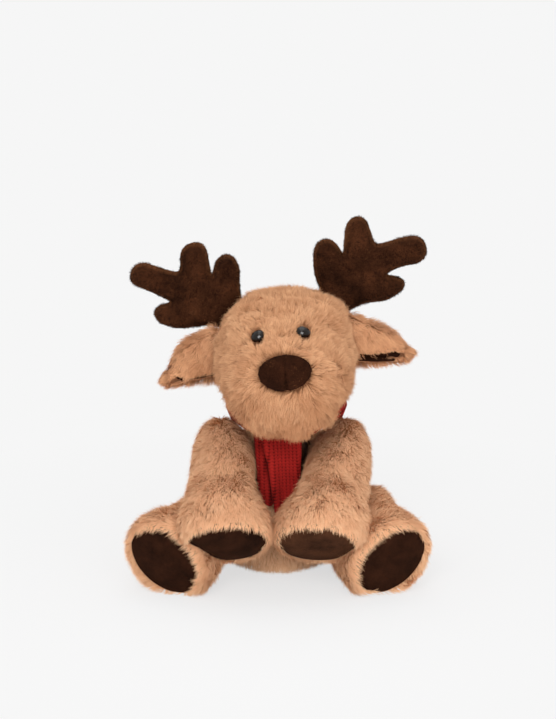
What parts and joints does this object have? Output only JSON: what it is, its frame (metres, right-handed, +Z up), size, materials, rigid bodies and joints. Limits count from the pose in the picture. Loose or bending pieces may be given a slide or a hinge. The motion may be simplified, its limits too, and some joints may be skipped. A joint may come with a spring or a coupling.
{
  "type": "plush deer",
  "caption": "Sitting plush deer with velour antlers, hanging ears and a knitted scarf; head, arms, legs, ears, antlers and tail move at their seams.",
  "frame": {"origin": "centre of the body's flat seat, on the floor", "axes": "+Z up, the face looks along -Y, +X is the viewer's right"},
  "size_m": [0.2283, 0.1838, 0.2719],
  "materials": {
    "body_skin": "long soft pile",
    "body_stuffing": "loose fibre",
    "pellet_bag": "plain cotton",
    "scarf_band": "fine knit",
    "scarf_wide_end": "fine knit",
    "scarf_narrow_end": "fine knit",
    "neck_stuffing": "loose fibre",
    "head_skin": "long soft pile",
    "head_stuffing": "loose fibre",
    "nose": "short velour",
    "eye_left": "gloss",
    "eye_right": "gloss",
    "eye_washer_left": "satin",
    "eye_washer_right": "satin",
    "tail": "long soft pile",
    "arm_left_skin": "long soft pile",
    "arm_left_stuffing": "loose fibre",
    "paw_pad_left": "short velour",
    "leg_left_skin": "long soft pile",
    "leg_left_stuffing": "loose fibre",
    "sole_left": "short velour",
    "ear_left_back": "long soft pile",
    "ear_left_lining": "short velour",
    "antler_left_cover": "short velour",
    "antler_left_stuffing": "loose fibre",
    "arm_right_skin": "long soft pile",
    "arm_right_stuffing": "loose fibre",
    "paw_pad_right": "short velour",
    "leg_right_skin": "long soft pile",
    "leg_right_stuffing": "loose fibre",
    "sole_right": "short velour",
    "ear_right_back": "long soft pile",
    "ear_right_lining": "short velour",
    "antler_right_cover": "short velour",
    "antler_right_stuffing": "loose fibre"
  },
  "bodies": {
    "torso": {"body_skin": "body_skin", "body_stuffing": "body_stuffing", "pellet_bag": "pellet_bag", "scarf_band": "scarf_band", "scarf_wide_end": "scarf_wide_end", "scarf_narrow_end": "scarf_narrow_end"},
    "neck": {"neck_stuffing": "neck_stuffing"},
    "head": {"head_skin": "head_skin", "head_stuffing": "head_stuffing", "nose": "nose", "eye_left": "eye_left", "eye_right": "eye_right", "eye_washer_left": "eye_washer_left", "eye_washer_right": "eye_washer_right"},
    "tail": {"tail": "tail"},
    "arm_left": {"arm_left_skin": "arm_left_skin", "arm_left_stuffing": "arm_left_stuffing", "paw_pad_left": "paw_pad_left"},
    "leg_left": {"leg_left_skin": "leg_left_skin", "leg_left_stuffing": "leg_left_stuffing", "sole_left": "sole_left"},
    "ear_left": {"ear_left_back": "ear_left_back", "ear_left_lining": "ear_left_lining"},
    "antler_left": {"antler_left_cover": "antler_left_cover", "antler_left_stuffing": "antler_left_stuffing"},
    "arm_right": {"arm_right_skin": "arm_right_skin", "arm_right_stuffing": "arm_right_stuffing", "paw_pad_right": "paw_pad_right"},
    "leg_right": {"leg_right_skin": "leg_right_skin", "leg_right_stuffing": "leg_right_stuffing", "sole_right": "sole_right"},
    "ear_right": {"ear_right_back": "ear_right_back", "ear_right_lining": "ear_right_lining"},
    "antler_right": {"antler_right_cover": "antler_right_cover", "antler_right_stuffing": "antler_right_stuffing"}
  },
  "joints": [
    {"name": "neck_turn", "type": "hinge", "parent": "torso", "child": "neck", "pos_m": [0.004, -0.004, 0.13203], "axis": [0, 0, 1], "range_deg": [-25, 25]},
    {"name": "neck_nod", "type": "hinge", "parent": "neck", "child": "head", "pos_m": [0.004, -0.004, 0.13203], "axis": [1, 0, 0], "range_deg": [-12, 4]},
    {"name": "tail_flap", "type": "hinge", "parent": "torso", "child": "tail", "pos_m": [0, 0.04495, 0.034], "axis": [1, 0, 0], "range_deg": [-20, 20], "stiffness_Nm_per_rad": 0.01},
    {"name": "shoulder_left", "type": "hinge", "parent": "torso", "child": "arm_left", "pos_m": [-0.04298, -0.016, 0.09652], "axis": [-1, 0, 0], "range_deg": [0, 22]},
    {"name": "hip_left", "type": "hinge", "parent": "torso", "child": "leg_left", "pos_m": [-0.04408, -0.004, 0.035], "axis": [0, 0, -1], "range_deg": [0, 30]},
    {"name": "ear_flap_left", "type": "hinge", "parent": "head", "child": "ear_left", "pos_m": [-0.04842, -0.023, 0.1745], "axis": [-0.0958, 0, 0.9954], "range_deg": [-22, 22], "stiffness_Nm_per_rad": 0.03},
    {"name": "antler_bend_left", "type": "hinge", "parent": "head", "child": "antler_left", "pos_m": [-0.03978, -0.005, 0.20286], "axis": [-0.6494, 0, -0.7604], "range_deg": [-14, 14], "stiffness_Nm_per_rad": 0.15},
    {"name": "shoulder_right", "type": "hinge", "parent": "torso", "child": "arm_right", "pos_m": [0.05098, -0.016, 0.09652], "axis": [-1, 0, 0], "range_deg": [0, 22]},
    {"name": "hip_right", "type": "hinge", "parent": "torso", "child": "leg_right", "pos_m": [0.04408, -0.004, 0.035], "axis": [0, 0, 1], "range_deg": [0, 30]},
    {"name": "ear_flap_right", "type": "hinge", "parent": "head", "child": "ear_right", "pos_m": [0.05773, -0.023, 0.18472], "axis": [-0.0958, 0, 0.9954], "range_deg": [-22, 22], "stiffness_Nm_per_rad": 0.03},
    {"name": "antler_bend_right", "type": "hinge", "parent": "head", "child": "antler_right", "pos_m": [0.04384, -0.005, 0.21091], "axis": [0.8434, 0, -0.5373], "range_deg": [-14, 14], "stiffness_Nm_per_rad": 0.15}
  ]
}
